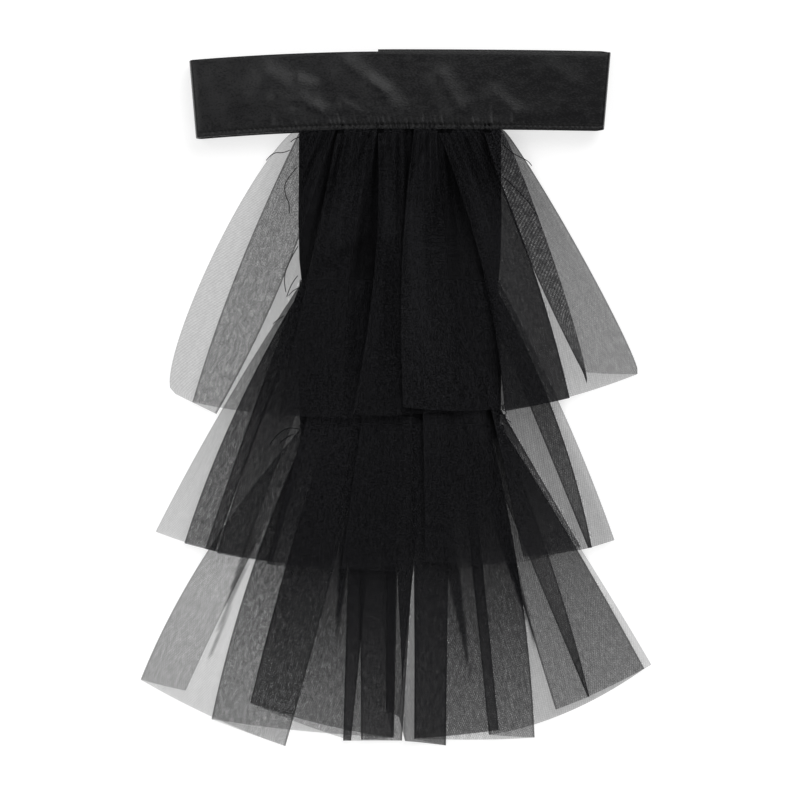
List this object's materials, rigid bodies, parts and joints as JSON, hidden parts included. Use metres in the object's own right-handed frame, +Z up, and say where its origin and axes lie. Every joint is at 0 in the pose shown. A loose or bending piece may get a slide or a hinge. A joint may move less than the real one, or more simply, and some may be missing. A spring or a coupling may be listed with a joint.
{
  "type": "jabot",
  "caption": "Black jabot lying flat: a satin neck loop that closes at the back, with a cloth panel hung from it that carries tiers of gathered see-through tulle ruffles.",
  "frame": {"origin": "on the surface that the jabot lies on, under the middle of its bounding box", "axes": "+X to the wearer's left (right in the picture), +Y from the lowest hem towards the neck loop, +Z up from the surface, out of the jabot's front"},
  "size_m": [0.2416, 0.3316, 0.0258],
  "materials": {
    "satin": "satin weave with a soft sheen",
    "nylon": "matte hook-and-loop tape",
    "cloth": "matte plain weave",
    "tulle": "matte see-through net"
  },
  "bodies": {
    "root": {"neckband": "satin", "closure_patch": "nylon", "backing_panel": "cloth", "upper_ruffle": "tulle", "middle_ruffle": "tulle", "lower_ruffle": "tulle"}
  },
  "joints": []
}
